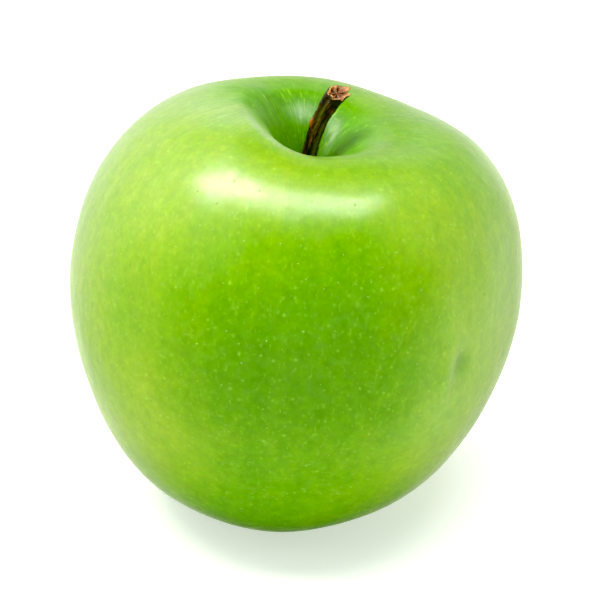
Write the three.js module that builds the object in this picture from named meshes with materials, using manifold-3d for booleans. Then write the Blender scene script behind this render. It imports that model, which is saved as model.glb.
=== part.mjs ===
// A green eating apple, as picked: the fruit with its stem cavity, calyx basin and five soft lobes,
// the woody stem in its socket on top, and the dried calyx in its socket underneath.
// Millimetres, +Z up. Angles are in degrees, anticlockwise from +X as seen from above.
import * as THREE from 'three';
import { mergeVertices } from 'three/addons/utils/BufferGeometryUtils.js';
import Module from 'manifold-3d';

const wasm = await Module();
wasm.setup();

// ---------------------------------------------------------------- driving dimensions
const GAP = 0.3; // clearance between pieces

// The fruit. Each outline from the cavity floor to the basin floor passes through four rings:
// crest, cheek, base and the two floors. A swing makes a ring's size vary round the fruit.
const CHEEK_RADIUS = 39;
const CHEEK_HEIGHT = 38;
const CREST_RADIUS = 14.6;
const CREST_HEIGHT = 70;
const BASE_RADIUS = 12.8;
const BASE_HEIGHT = 0.15;
const CAVITY_FLOOR = 53.3;
const BASIN_FLOOR = 7.3;
const LEAN = 5.6; // how far the fruit leans along +X in LEAN_HEIGHT
const LEAN_HEIGHT = 70;
const CREST_HEIGHT_SWINGS = [{ size: 3.0, count: 1, at: 190 }, { size: 0.4, count: 2, at: 15 }];
const CREST_RADIUS_SWINGS = [{ size: 2.4, count: 1, at: -57 }, { size: 0.9, count: 2, at: -76 }];
const CHEEK_RADIUS_SWINGS = [
  { size: 0.3, count: 1, at: 90 },
  { size: 0.4, count: 2, at: 45 },
  { size: 0.3, count: 3, at: 38 },
];
const CHEEK_HEIGHT_SWINGS = [{ size: 4.0, count: 1, at: 138 }];
const BASE_RADIUS_SWINGS = [{ size: 0.5, count: 1, at: 0 }];

// Five lobes: raised at the crest and cheek, and standing on feet at the base.
const LOBES = 5;
const LOBE_AT = 83;
const FOOT_AT = 122;
const CREST_LOBE = 0.27;
const CHEEK_LOBE = 0.42;
const FOOT_DEPTH = 0.35;

// How far each curve's handles reach from its ring.
const FLOOR_HANDLE = { out: 2.2, up: 6 };
const CREST_IN = 6.2;
const CREST_OUT = 15;
const CHEEK_UP = 18.8;
const CHEEK_DOWN = 13.2;
const BASE_OUT = 15.8;
const BASE_IN = 4;
const BASIN_HANDLE = { out: 5.5, up: -1 };

const MERIDIANS = 72;
const CURVE_STEPS = [10, 12, 14, 8];

// A small pinched dimple in one cheek.
const DIMPLE = { at: -45.2, height: 37.8, wide: 6.4, tall: 8, deep: 0.7, bulge: 2 };

// The stem: the four points of its centre line's curve, and its radius from foot to torn end.
const STEM_CURVE = [
  [1.5, 0, 51.9],
  [1.7, 0, 60],
  [2.75, 0.5, 68.5],
  [7.6, 1.2, 73.4],
];
const STEM_FOOT_RADIUS = 1.35;
const STEM_WAIST_RADIUS = 1.2;
const STEM_END_RADIUS = 1.75;
const STEM_RIDGE = 0.09;
const STEM_RIDGES = 7;
const STEM_FLARE_START = 0.74; // part of the length
const STEM_STEPS = 26;
const STEM_SIDES = 21;
const TORN_EDGE = 0.35; // how ragged the torn rim is
const PITH = { size: 0.55, deep: 0.6 };
const BUD_SCAR = { along: 0.66, at: 175, out: 0.55, length: 0.05, width: 26 };
const SOCKET_SLACK = 0.25; // more room, because the stem leans in its socket
const SOCKET_TOP = 62;

// The calyx: a short tube, five sepals that draw together and turn out, and a tuft of stamens.
const CALYX_TUBE_RADIUS = 2.2;
const CALYX_TUBE_TOP = 10;
const CALYX_TUBE_END = 5.4;
const CALYX_SOCKET_SIDES = 24;
const SEPALS = 5;
const SEPAL_AT = 30;
const SEPAL_CURVE = [[1.4, 5.9], [3.6, 5.7], [2.0, 3.3], [5.2, 2.6]]; // radius, height
const SEPAL_WIDTH = 3.0;
const SEPAL_TIP_WIDTH = 0.7;
const SEPAL_THICKNESS = 0.8;
const SEPAL_TIP_THICKNESS = 0.6;
const SEPAL_STEPS = 8;
const SEPAL_SIDES = 8;
const STAMENS = 8;
const STAMEN_RADIUS = 0.3;
const STAMEN_SPREAD = { short: { foot: 0.45, tip: 0.7 }, long: { foot: 0.85, tip: 1.4 } };
const STAMEN_ROOT = 6.8;
const STAMEN_TIP = { short: 4.4, long: 3.1 };
const STAMEN_STEPS = 4;
const STAMEN_SIDES = 6;

const COLORS = { skin: 0x6fae12, bark: 0x3a2414, sepal: 0x6b6238 };

// ---------------------------------------------------------------- helpers
const radians = THREE.MathUtils.degToRad;
const TURN = 2 * Math.PI;

// The sum of a list of swings at one angle round the fruit.
function swing(list, angle) {
  return list.reduce((sum, { size, count, at }) => sum + size * Math.cos(count * (angle - radians(at))), 0);
}

// A smooth curve from the first of four points to the last, drawn towards the two between.
function curveThrough(points) {
  return new THREE.CubicBezierCurve3(...points.map((point) => new THREE.Vector3(...point)));
}

// A closed skin: rings of `sides` points each, and one point that closes each end.
function skin(start, rings, end) {
  const sides = rings[0].length;
  const points = [start, ...rings.flat(), end];
  const last = points.length - 1;
  const faces = [];
  for (let side = 0; side < sides; side += 1) {
    const next = (side + 1) % sides;
    faces.push(0, 1 + side, 1 + next);
    for (let ring = 0; ring + 1 < rings.length; ring += 1) {
      const here = 1 + ring * sides;
      const below = here + sides;
      faces.push(here + side, below + side, below + next);
      faces.push(here + side, below + next, here + next);
    }
    const lowest = last - sides;
    faces.push(lowest + side, last, lowest + next);
  }
  const geometry = new THREE.BufferGeometry().setFromPoints(points);
  geometry.setIndex(faces);
  return geometry;
}

// Rings along a path. `outline(t, angle)` gives a point's distance across, along `side`, and up,
// square to both, and how far it is pushed ahead along the path.
function ringsAlong(path, side, stations, sides, outline) {
  return stations.map((station) => {
    const centre = path.getPoint(station.t);
    const ahead = path.getTangent(station.t);
    const across = side.clone().addScaledVector(ahead, -side.dot(ahead)).normalize();
    const up = new THREE.Vector3().crossVectors(ahead, across);
    return Array.from({ length: sides }, (_, index) => {
      const angle = (index / sides) * TURN;
      const offset = outline(station, angle);
      return centre
        .clone()
        .addScaledVector(across, offset.across * Math.cos(angle))
        .addScaledVector(up, -offset.up * Math.sin(angle))
        .addScaledVector(ahead, offset.ahead ?? 0);
    });
  });
}

function toSolid(geometry) {
  const bare = geometry.clone();
  bare.deleteAttribute('normal');
  bare.deleteAttribute('uv');
  const merged = mergeVertices(bare);
  const vertProperties = new Float32Array(merged.attributes.position.array);
  const triVerts = new Uint32Array(merged.index.array);
  return new wasm.Manifold(new wasm.Mesh({ numProp: 3, vertProperties, triVerts }));
}

function toGeometry(solid) {
  const mesh = solid.getMesh();
  const geometry = new THREE.BufferGeometry();
  geometry.setAttribute('position', new THREE.BufferAttribute(mesh.vertProperties, 3));
  geometry.setIndex(new THREE.BufferAttribute(mesh.triVerts, 1));
  geometry.computeVertexNormals();
  return geometry;
}

// An upright cylinder between two heights, centred over one point.
function uprightCylinder(radius, centre, low, high, sides) {
  const geometry = new THREE.CylinderGeometry(radius, radius, high - low, sides);
  geometry.rotateX(Math.PI / 2);
  geometry.translate(centre.x, centre.y, (low + high) / 2);
  return geometry;
}

// ---------------------------------------------------------------- fruit
// A height's sideways shift, because the fruit leans.
const leanAt = (height) => LEAN * (height / LEAN_HEIGHT - 0.5);

function onFruit(angle, radius, height) {
  return new THREE.Vector3(radius * Math.cos(angle) + leanAt(height), radius * Math.sin(angle), height);
}

// The fruit's outline at one angle: four curves, from the cavity floor to the basin floor.
function outlineAt(angle) {
  const lobe = Math.cos(LOBES * (angle - radians(LOBE_AT)));
  const foot = Math.cos(LOBES * (angle - radians(FOOT_AT)));
  const point = (radius, height) => new THREE.Vector2(radius, height);
  const moved = (from, out, up) => new THREE.Vector2(from.x + out, from.y + up);
  const floor = point(0, CAVITY_FLOOR);
  const crest = point(
    CREST_RADIUS + swing(CREST_RADIUS_SWINGS, angle),
    CREST_HEIGHT + swing(CREST_HEIGHT_SWINGS, angle) + CREST_LOBE * lobe,
  );
  const cheek = point(
    CHEEK_RADIUS + swing(CHEEK_RADIUS_SWINGS, angle) + CHEEK_LOBE * lobe,
    CHEEK_HEIGHT + swing(CHEEK_HEIGHT_SWINGS, angle),
  );
  const base = point(BASE_RADIUS + swing(BASE_RADIUS_SWINGS, angle), BASE_HEIGHT - FOOT_DEPTH * foot);
  const basin = point(0, BASIN_FLOOR);
  const floorHandle = moved(floor, FLOOR_HANDLE.out, FLOOR_HANDLE.up);
  const basinHandle = moved(basin, BASIN_HANDLE.out, BASIN_HANDLE.up);
  return [
    new THREE.CubicBezierCurve(floor, floorHandle, moved(crest, -CREST_IN, 0), crest),
    new THREE.CubicBezierCurve(crest, moved(crest, CREST_OUT, 0), moved(cheek, 0, CHEEK_UP), cheek),
    new THREE.CubicBezierCurve(cheek, moved(cheek, 0, -CHEEK_DOWN), moved(base, BASE_OUT, 0), base),
    new THREE.CubicBezierCurve(base, moved(base, -BASE_IN, 0), basinHandle, basin),
  ];
}

// The fruit before anything is cut from it.
function wholeFruit() {
  const outlines = Array.from({ length: MERIDIANS }, (_, index) => {
    const angle = (index / MERIDIANS) * TURN;
    const points = outlineAt(angle).flatMap((curve, part) =>
      curve.getPoints(CURVE_STEPS[part]).slice(1).map(({ x, y }) => onFruit(angle, x, y)),
    );
    return points.slice(0, -1);
  });
  const rings = outlines[0].map((_, ring) => outlines.map((points) => points[ring]));
  return skin(onFruit(0, 0, CAVITY_FLOOR), rings, onFruit(0, 0, BASIN_FLOOR));
}

// Everything below the resting plane, which leaves a small flat spot under each foot.
function belowGround() {
  const depth = 10;
  const ground = new THREE.BoxGeometry(3 * CHEEK_RADIUS, 3 * CHEEK_RADIUS, depth);
  ground.translate(0, 0, -depth / 2);
  return ground;
}

function dimpleTool() {
  const angle = radians(DIMPLE.at);
  const curve = outlineAt(angle)[2];
  const radius = curve.getPoint(0).x;
  const tool = new THREE.SphereGeometry(1, 16, 10);
  tool.scale(DIMPLE.bulge, DIMPLE.wide / 2, DIMPLE.tall / 2);
  tool.rotateZ(angle);
  const centre = onFruit(angle, radius + DIMPLE.bulge - DIMPLE.deep, DIMPLE.height);
  tool.translate(centre.x, centre.y, centre.z);
  return tool;
}

function stemSocket() {
  const [x, y, foot] = STEM_CURVE[0];
  const radius = STEM_FOOT_RADIUS + STEM_RIDGE + SOCKET_SLACK + GAP;
  return uprightCylinder(radius, { x, y }, foot - GAP, SOCKET_TOP, STEM_SIDES);
}

function calyxSocket() {
  const centre = { x: leanAt(BASIN_FLOOR), y: 0 };
  const radius = CALYX_TUBE_RADIUS + GAP;
  return uprightCylinder(radius, centre, 0, CALYX_TUBE_TOP + GAP, CALYX_SOCKET_SIDES);
}

function fruitGeometry() {
  const tools = [belowGround(), dimpleTool(), stemSocket(), calyxSocket()];
  const fruit = tools.reduce((left, tool) => left.subtract(toSolid(tool)), toSolid(wholeFruit()));
  return toGeometry(fruit);
}

// ---------------------------------------------------------------- stem
const smooth = (low, high, value) => THREE.MathUtils.smoothstep(value, low, high);

function stemRadius(t) {
  const foot = THREE.MathUtils.lerp(STEM_FOOT_RADIUS, STEM_WAIST_RADIUS, smooth(0.2, 0.6, t));
  return THREE.MathUtils.lerp(foot, STEM_END_RADIUS, smooth(STEM_FLARE_START, 1, t));
}

// A raised scar on one side, where a bud once sat.
function budScar(t, angle) {
  const along = (t - BUD_SCAR.along) / BUD_SCAR.length;
  const turned = Math.atan2(Math.sin(angle - radians(BUD_SCAR.at)), Math.cos(angle - radians(BUD_SCAR.at)));
  const round = turned / radians(BUD_SCAR.width);
  return BUD_SCAR.out * Math.exp(-along * along - round * round);
}

const tornEdge = (angle) => TORN_EDGE * (Math.cos(3 * angle + 1) + 0.6 * Math.cos(7 * angle));

function stemGeometry() {
  const path = curveThrough(STEM_CURVE);
  const stations = Array.from({ length: STEM_STEPS + 1 }, (_, index) => ({
    t: index / STEM_STEPS,
    size: 1,
    back: 0,
  }));
  stations.push({ t: 1, size: PITH.size, back: PITH.deep });
  const rings = ringsAlong(path, new THREE.Vector3(1, 0, 0), stations, STEM_SIDES, (station, angle) => {
    const ridge = STEM_RIDGE * Math.cos(STEM_RIDGES * angle);
    const radius = (stemRadius(station.t) + ridge + budScar(station.t, angle)) * station.size;
    const ahead = tornEdge(angle) * smooth(STEM_FLARE_START, 1, station.t) - station.back;
    return { across: radius, up: radius, ahead };
  });
  const start = path.getPoint(0);
  const end = path.getPoint(1).addScaledVector(path.getTangent(1), -PITH.deep);
  return skin(start, rings, end);
}

// ---------------------------------------------------------------- calyx
const evenly = (steps) => Array.from({ length: steps + 1 }, (_, index) => ({ t: index / steps }));

function rodAlong(path, side, steps, sides, outline) {
  const rings = ringsAlong(path, side, evenly(steps), sides, outline);
  return skin(path.getPoint(0), rings, path.getPoint(1));
}

// One sepal: a pointed blade, widest low down, drawn in and then turned out at its tip.
function sepal(index) {
  const angle = radians(SEPAL_AT) + (index / SEPALS) * TURN;
  const path = curveThrough(SEPAL_CURVE.map(([radius, height]) => [radius, 0, height]));
  const outline = ({ t }) => ({
    across: THREE.MathUtils.lerp(SEPAL_WIDTH, SEPAL_TIP_WIDTH, t ** 1.3) / 2,
    up: THREE.MathUtils.lerp(SEPAL_THICKNESS, SEPAL_TIP_THICKNESS, t) / 2,
  });
  const blade = rodAlong(path, new THREE.Vector3(0, 1, 0), SEPAL_STEPS, SEPAL_SIDES, outline);
  blade.rotateZ(angle);
  return blade;
}

// One dried stamen of the tuft; every second one is short.
function stamen(index) {
  const angle = radians(SEPAL_AT) + ((index + 0.5) / STAMENS) * TURN;
  const short = index % 2 === 1;
  const reach = short ? STAMEN_SPREAD.short : STAMEN_SPREAD.long;
  const tip = short ? STAMEN_TIP.short : STAMEN_TIP.long;
  const path = curveThrough([
    [reach.foot, 0, STAMEN_ROOT],
    [reach.foot, 0, (2 * STAMEN_ROOT + tip) / 3],
    [reach.foot, 0, (STAMEN_ROOT + 2 * tip) / 3],
    [reach.tip, 0, tip],
  ]);
  const outline = () => ({ across: STAMEN_RADIUS, up: STAMEN_RADIUS });
  const rod = rodAlong(path, new THREE.Vector3(0, 1, 0), STAMEN_STEPS, STAMEN_SIDES, outline);
  rod.rotateZ(angle);
  return rod;
}

function calyxGeometry() {
  const tube = uprightCylinder(CALYX_TUBE_RADIUS, { x: 0, y: 0 }, CALYX_TUBE_END, CALYX_TUBE_TOP, 20);
  const sepals = Array.from({ length: SEPALS }, (_, index) => sepal(index));
  const stamens = Array.from({ length: STAMENS }, (_, index) => stamen(index));
  const calyx = [...sepals, ...stamens].reduce((left, piece) => left.add(toSolid(piece)), toSolid(tube));
  return toGeometry(calyx);
}

// ---------------------------------------------------------------- the apple
function piece(name, geometry, color, roughness) {
  const material = new THREE.MeshStandardMaterial({ color, roughness, metalness: 0 });
  const mesh = new THREE.Mesh(geometry, material);
  mesh.name = name;
  return mesh;
}

const apple = new THREE.Group();
const fruit = piece('fruit', fruitGeometry(), COLORS.skin, 0.3);
const stem = piece('stem', stemGeometry(), COLORS.bark, 0.8);
const calyx = piece('calyx', calyxGeometry(), COLORS.sepal, 0.9);
calyx.position.x = leanAt(BASIN_FLOOR);
apple.add(fruit, stem, calyx);

// The origin is on the resting plane, under the middle of the apple's box.
const middle = new THREE.Box3().setFromObject(apple).getCenter(new THREE.Vector3());
apple.position.set(-middle.x, -middle.y, 0);

export default apple;
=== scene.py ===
# %% [markdown]
# A green apple, as picked, with its stem on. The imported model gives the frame: its three solids
# say where the fruit, the stem and the calyx are, and they carry the weight and the contacts.
# Here each of them gets its looks: a finer mesh of the same form, and a material named for the
# real stuff. The fruit and the stem each follow a rule with a few sizes, so the rules are written
# once more here, in millimetres, and sampled far more finely than a solid for physics needs.

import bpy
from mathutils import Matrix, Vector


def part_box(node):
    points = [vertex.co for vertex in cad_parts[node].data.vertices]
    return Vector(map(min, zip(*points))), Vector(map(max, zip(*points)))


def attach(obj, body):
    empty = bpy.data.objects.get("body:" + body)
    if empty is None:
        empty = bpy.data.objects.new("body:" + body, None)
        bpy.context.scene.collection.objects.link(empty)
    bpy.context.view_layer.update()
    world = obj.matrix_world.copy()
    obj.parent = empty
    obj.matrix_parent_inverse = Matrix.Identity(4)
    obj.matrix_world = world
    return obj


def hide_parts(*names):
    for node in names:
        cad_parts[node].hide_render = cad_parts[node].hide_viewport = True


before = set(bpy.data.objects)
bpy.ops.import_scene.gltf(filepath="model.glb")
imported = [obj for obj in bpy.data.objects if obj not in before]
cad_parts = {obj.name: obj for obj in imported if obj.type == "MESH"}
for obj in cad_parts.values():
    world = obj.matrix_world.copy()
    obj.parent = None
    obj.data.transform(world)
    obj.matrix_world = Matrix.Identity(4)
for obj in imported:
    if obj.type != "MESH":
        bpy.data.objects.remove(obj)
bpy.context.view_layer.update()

# %% Libraries and units
import math

import bpy
import numpy as np
from mathutils import Vector

MM = 0.001
TURN = 2 * math.pi

# %% [markdown]
# Every shader and every Geometry Nodes tree below is a graph of nodes, so one small function adds
# a node, sets its settings, and fills or links its inputs. Colours are picked as sRGB hex codes,
# the way a paint chart gives them, while shaders compute with linear light. One function turns
# the first into the second.

# %% Helpers for nodes and colours
def add(tree, kind, inputs=(), **settings):
    """Adds a node. `inputs` are values, sockets or nodes: a list in order, or a dict by name."""
    made = tree.nodes.new(kind)
    for name, value in settings.items():
        setattr(made, name, value)
    for name, value in inputs.items() if isinstance(inputs, dict) else enumerate(inputs):
        same = [s for s in made.inputs if s.name == name and s.enabled]
        socket = same[0] if same else made.inputs[name]
        if isinstance(value, bpy.types.Node):
            value = next(s for s in value.outputs if s.enabled)
        if isinstance(value, bpy.types.NodeSocket):
            tree.links.new(value, socket)
        else:
            socket.default_value = value
    return made


def linear(hex_code):
    """An sRGB hex code, such as "69AF05", as linear red, green, blue and alpha."""
    parts = [int(hex_code[i : i + 2], 16) / 255 for i in (0, 2, 4)]
    return (*[p / 12.92 if p <= 0.04045 else ((p + 0.055) / 1.055) ** 2.4 for p in parts], 1.0)


def new_material(name):
    """A material with an empty node tree."""
    material = bpy.data.materials.new(name)
    material.use_nodes = True
    material.node_tree.nodes.clear()
    return material, material.node_tree


print("leaf green in linear light:", [round(part, 3) for part in linear("69AF05")])

# %% [markdown]
# The floor, the lights and the camera come first, so that every piece can be judged as soon as it
# is made. The camera looks down at 27 degrees through a long lens. Three soft boxes hang in a row
# over the fruit, the brightest on the left, and give the two soft highlights on the shoulder. The
# wax also mirrors the room: pale behind, on the left and low on the right, and dark on the
# camera's side, which keeps the green of the middle deep and lets the edges pick up white. Low
# cards, which the wax doesn't mirror, lift the front and the sides.

# %% The camera
VIEW_ELEVATION, VIEW_DISTANCE, LENS, SENSOR = 27.0, 388.5, 135.0, 36.0
VIEW_TARGET = Vector((0.62, -0.39, 35.75))
CLIP_START = 0.01
back = Vector((0, -math.cos(math.radians(VIEW_ELEVATION)), math.sin(math.radians(VIEW_ELEVATION))))
lens = bpy.data.cameras.new("camera")
lens.lens, lens.sensor_width, lens.clip_start = LENS, SENSOR, CLIP_START
camera = bpy.data.objects.new("camera", lens)
camera.location = (VIEW_TARGET + back * VIEW_DISTANCE) * MM
camera.rotation_mode = "QUATERNION"
camera.rotation_quaternion = back.to_track_quat("Z", "Y")
bpy.context.scene.collection.objects.link(camera)
bpy.context.scene.camera = camera
print("camera at, mm:", [round(part / MM) for part in camera.location])

# %% The floor
FLOOR_SIZE, FLOOR_BELOW = 40.0, 0.02 * MM  # in metres
bpy.ops.mesh.primitive_plane_add(size=FLOOR_SIZE, location=(0, 0, -FLOOR_BELOW))
floor = bpy.context.object
floor.name = "floor"
floor.visible_glossy = False  # the wax shows the room, not the glow of the card below
card_material, tree = new_material("back_lit_white_card")
# Matt card with a faint light under it: near white, and a shadow on it stays pale.
surface = add(tree, "ShaderNodeBsdfPrincipled", {
    "Base Color": linear("F0F0F0"), "Roughness": 0.9, "Specular IOR Level": 0.2,
    "Emission Color": linear("FFFFFF"), "Emission Strength": 0.45})
add(tree, "ShaderNodeOutputMaterial", {"Surface": surface})
floor.data.materials.append(card_material)
print("floor:", FLOOR_SIZE, "m of white card")

# %% The room
ROOM = [  # how bright; which way; how nearly that way it begins and where it is full
    (0.60, (-1, 0, 0), -0.02, 0.16),  # a pale screen, behind and on the left
    (0.22, (0.26, 0.96, 0.05), 0.88, 0.975),  # the backdrop, right of the middle
    (0.42, (0.20, 0.92, -0.34), 0.94, 0.985),  # the far edge of the table
    (0.30, (0.65, 0.10, 0.75), 0.70, 0.92),  # the ceiling on the right
    (0.65, (0.75, 0.20, -0.63), 0.30, 0.90),  # the lit table on the right
    (0.15, (0, 0.10, 0.99), 0.80, 0.94),  # the ceiling above
    (0.60, (-0.80, 0.12, 0.58), 0.80, 0.97),  # a window high on the left
    (0.35, (0.90, -0.04, -0.44), 0.95, 0.995),  # a bright patch of the lit table
    (0.28, (-0.25, 0.91, -0.33), 0.95, 0.99),  # the far edge of the table on the left
    (0.18, (0.19, 0.885, 0.425), 0.97, 0.995),  # the backdrop above it
    (0.40, (0.72, 0.60, -0.34), 0.96, 0.995)]  # the far edge of the table on the right
ROOM_BACK, BACKDROP = 0.32, 1.0
SHADES = [  # how much is left; which way; where it begins and where it is full
    (0.02, (0, -1, 0), -0.1, 0.75),  # the camera's side
    (0.70, (-0.90, -0.30, -0.30), 0.35, 0.90),  # the left wall
    (0.70, (0, 0, -1), 0.0, 0.35),  # the table
    (0.10, (0, 0.12, -0.993), 0.68, 0.95),  # the shadow under the fruit
    (0.35, (0.03, 0.50, -0.865), 0.92, 0.98),  # and behind it
    (0.62, (0.945, 0.31, 0.10), 0.85, 0.97),  # a dark doorway on the right
    (0.25, (0.96, -0.28, -0.02), 0.94, 1.0),  # and the wall in front of it
    (0.70, (0.52, 0.62, -0.59), 0.93, 0.99),  # the table behind the shadow
    (0.75, (0.60, 0.77, -0.21), 0.96, 0.995),  # the end of the backdrop
    (0.65, (-0.985, 0.05, 0.05), 0.93, 0.99),  # a gap in the pale screen
    (0.45, (0.14, 0.67, 0.73), 0.97, 0.995),  # the joint of backdrop and ceiling
    (0.60, (-0.08, 0.975, 0.20), 0.965, 0.99),  # the middle of the backdrop
    (0.80, (-0.20, 0.82, 0.54), 0.93, 0.985)]  # and its top
SPILT = [  # light that the soft boxes spill on the dark side, row by row as above
    (0.50, (-0.66, -0.54, 0.52), 0.90, 0.99),  # in front of the left one
    (0.35, (-0.02, -0.50, 0.865), 0.948, 0.99),  # of the middle one
    (0.26, (0.74, -0.46, 0.49), 0.90, 0.965)]  # and of the right one
world = bpy.data.worlds.new("studio")
bpy.context.scene.world = world
world.use_nodes = True
room = world.node_tree
room.nodes.clear()
seen = add(room, "ShaderNodeTexCoord").outputs["Generated"]
level = ROOM_BACK
for operation, parts in (("ADD", ROOM), ("MULTIPLY", SHADES), ("ADD", SPILT)):
    for bright, way, begins, full in parts:
        nearly = add(room, "ShaderNodeVectorMath", [seen, way], operation="DOT_PRODUCT")
        part = add(room, "ShaderNodeMapRange", {
            "Value": nearly, "From Min": begins, "From Max": full,
            "To Min": 0.0 if operation == "ADD" else 1.0, "To Max": bright},
            interpolation_type="SMOOTHSTEP")
        level = add(room, "ShaderNodeMath", [part, level], operation=operation)
# The backdrop itself is plain white: only what the fruit mirrors is shaped.
straight = add(room, "ShaderNodeLightPath").outputs["Is Camera Ray"]
level = add(room, "ShaderNodeMix", {"Factor": straight, "A": level, "B": BACKDROP},
            data_type="FLOAT")
sky = add(room, "ShaderNodeBackground", {"Color": linear("FFFFFF"), "Strength": level})
add(room, "ShaderNodeOutputWorld", {"Surface": sky})
print("room: bright parts", len(ROOM) + len(SPILT), "and dark parts", len(SHADES))

# %% The lamps
DOWN = (0, 0, -1)
LAMPS = [  # place and size in metres; how bright; its tint; the way it shines
    ("box_left", (-0.44, -0.03, 0.97), (0.62, 0.36), 12.5, "FFFAEE", DOWN),
    ("box_middle", (0.02, -0.12, 0.97), (0.28, 0.42), 5.8, "FFFFFF", DOWN),
    ("box_right", (0.32, -0.08, 0.97), (0.32, 0.36), 7.2, "FFFFFF", DOWN),
    ("card_front", (0.2, -1.1, 0.30), (1.4, 0.6), 1.9, "FFFFFF", (-0.15, 1, -0.1)),
    ("card_left", (-1.15, 0.4, 0.12), (1.0, 0.24), 1.6, "FFFFFF", (1, -0.35, 0)),
    ("card_right", (1.15, 0.3, 0.15), (1.0, 0.5), 1.5, "FFFFFF", (-1, -0.25, 0))]
BLACK_LEVEL = (0.012, 0.012, 0.026)
for name, place, size, bright, tint, facing in LAMPS:
    data = bpy.data.lights.new(name, "AREA")
    data.shape, data.size, data.size_y = "RECTANGLE", *size
    data.energy = bright * math.pi * size[0] * size[1]
    data.color = linear(tint)[:3]
    lamp = bpy.data.objects.new(name, data)
    lamp.location = place
    lamp.rotation_mode = "QUATERNION"
    lamp.rotation_quaternion = Vector(facing).to_track_quat("-Z", "Y")
    lamp.visible_glossy = name.startswith("box")  # the wax shows no mirror image of a card
    bpy.context.scene.collection.objects.link(lamp)
view = bpy.context.scene.view_settings
view.view_transform = "Standard"
view.use_curve_mapping = True
view.curve_mapping.black_level = BLACK_LEVEL  # deep tones stay clean, as in print
view.curve_mapping.update()
print("lamps:", ", ".join(lamp[0] for lamp in LAMPS))

# %% [markdown]
# An apple isn't turned on a lathe. Each of its outlines, from the floor of the stem cavity over
# the crest and the cheek to the calyx basin, has its own sizes. So each size of the outline
# swings a little as it goes round the fruit, and five soft lobes, one for each chamber of the
# core, raise the crest and the cheek and make the feet that the apple stands on. Four Bezier
# curves join the stations, as they would in a drawing of half an apple. This could be computed
# point by point in Python. Here a Geometry Nodes tree holds the rule, with the main sizes as its
# named inputs, and moves a plain closed net of points to where the rule says.

# %% The sizes of the fruit, in millimetres and degrees
LEAN, LEAN_HEIGHT = 5.6, 70.0
FRUIT_SIZES = {
    "Crest Radius": 14.6, "Crest Height": 70.0, "Cheek Radius": 39.0, "Cheek Height": 38.0,
    "Base Radius": 12.8, "Base Height": 0.15, "Cavity Floor": 53.3, "Basin Floor": 7.3,
    "Crest Bend": 6.6}
SWINGS = {  # how far, how many times in a turn, and at which angle it is greatest
    "Crest Radius": [(2.4, 1, -57), (0.9, 2, -76)],
    "Crest Height": [(2.9, 1, 190), (0.4, 2, -8), (0.25, 3, 98), (0.27, 5, 83)],
    "Cheek Radius": [(0.3, 1, 90), (0.4, 2, 45), (0.3, 3, 38), (0.42, 5, 83)],
    "Cheek Height": [(4.0, 1, 138)],
    "Base Radius": [(0.5, 1, 0)],
    "Base Height": [(-0.35, 5, 122)],
    "Crest Bend": [(1.6, 1, 20)]}
OUTLINE = [  # from, the handle that leaves it, the handle that arrives, to; as (out, 0, up)
    ("Cavity Floor", (2.2, 0, 6.0), "Crest Bend", "Crest"),
    ("Crest", (15.0, 0, 0), (0, 0, 18.8), "Cheek"),
    ("Cheek", (0, 0, -13.2), (15.8, 0, 0), "Base"),
    ("Base", (-4.0, 0, 0), (5.5, 0, -1.0), "Basin Floor")]
MERIDIANS = 360
CURVE_STEPS = (48, 62, 74, 40)
print("points on one outline:", sum(CURVE_STEPS), "and outlines:", MERIDIANS)

# %% A closed net of points
def net(name, places, sides):
    """Rings of four-sided faces and a point at each end; keeps each point's place and turn."""
    rings = len(places) - 2
    ring = np.arange(sides)
    after = (ring + 1) % sides
    faces = [(0, 1 + a, 1 + b) for a, b in zip(ring, after)]
    for row in range(rings - 1):
        here, below = 1 + row * sides, 1 + (row + 1) * sides
        faces += [(here + a, below + a, below + b, here + b) for a, b in zip(ring, after)]
    last = 1 + rings * sides
    faces += [(last - sides + a, last, last - sides + b) for a, b in zip(ring, after)]
    mesh = bpy.data.meshes.new(name)
    mesh.from_pydata(np.zeros((last + 1, 3)).tolist(), [], faces)
    put(mesh, "place", "FLOAT", [places[0], *np.repeat(places[1:-1], sides), places[-1]])
    put(mesh, "turn", "FLOAT", [0, *np.tile(ring * TURN / sides, rings), 0])
    return mesh


def put(mesh, name, kind, values):
    """Keeps a value for each point of a mesh; kind is FLOAT or FLOAT_VECTOR."""
    field = "value" if kind == "FLOAT" else "vector"
    mesh.attributes.new(name, kind, "POINT").data.foreach_set(field, np.ravel(values))


places = [0.0]  # a whole number at each station, and parts of one along the curves between them
for part, steps in enumerate(CURVE_STEPS):
    places += [part + step / steps for step in range(1, steps + 1)]
fruit_net = net("apple_skin", places, MERIDIANS)
print("net of the fruit:", len(fruit_net.vertices), "points,", len(fruit_net.polygons), "faces")

# %% [markdown]
# A Geometry Nodes tree is a small program that runs on a mesh. Four helpers are shared by the
# trees here: one starts a tree and names its inputs, one reads what the points of a net carry,
# one ends a tree with real geometry and a material, and one runs it on a mesh and keeps the
# result as plain points and faces.

# %% Helpers for Geometry Nodes
SOCKETS = {float: "NodeSocketFloat", int: "NodeSocketInt"}


def new_tree(name, sizes):
    """A tree with a Geometry input and output, and a named input for each size."""
    tree = bpy.data.node_groups.new(name, "GeometryNodeTree")
    for side in ("INPUT", "OUTPUT"):
        tree.interface.new_socket("Geometry", in_out=side, socket_type="NodeSocketGeometry")
    for label, value in sizes.items():
        kind = SOCKETS[type(value)]
        tree.interface.new_socket(label, in_out="INPUT", socket_type=kind).default_value = value
    tree.interface.new_socket("Finish", in_out="INPUT", socket_type="NodeSocketMaterial")
    return tree, add(tree, "NodeGroupInput").outputs


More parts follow.
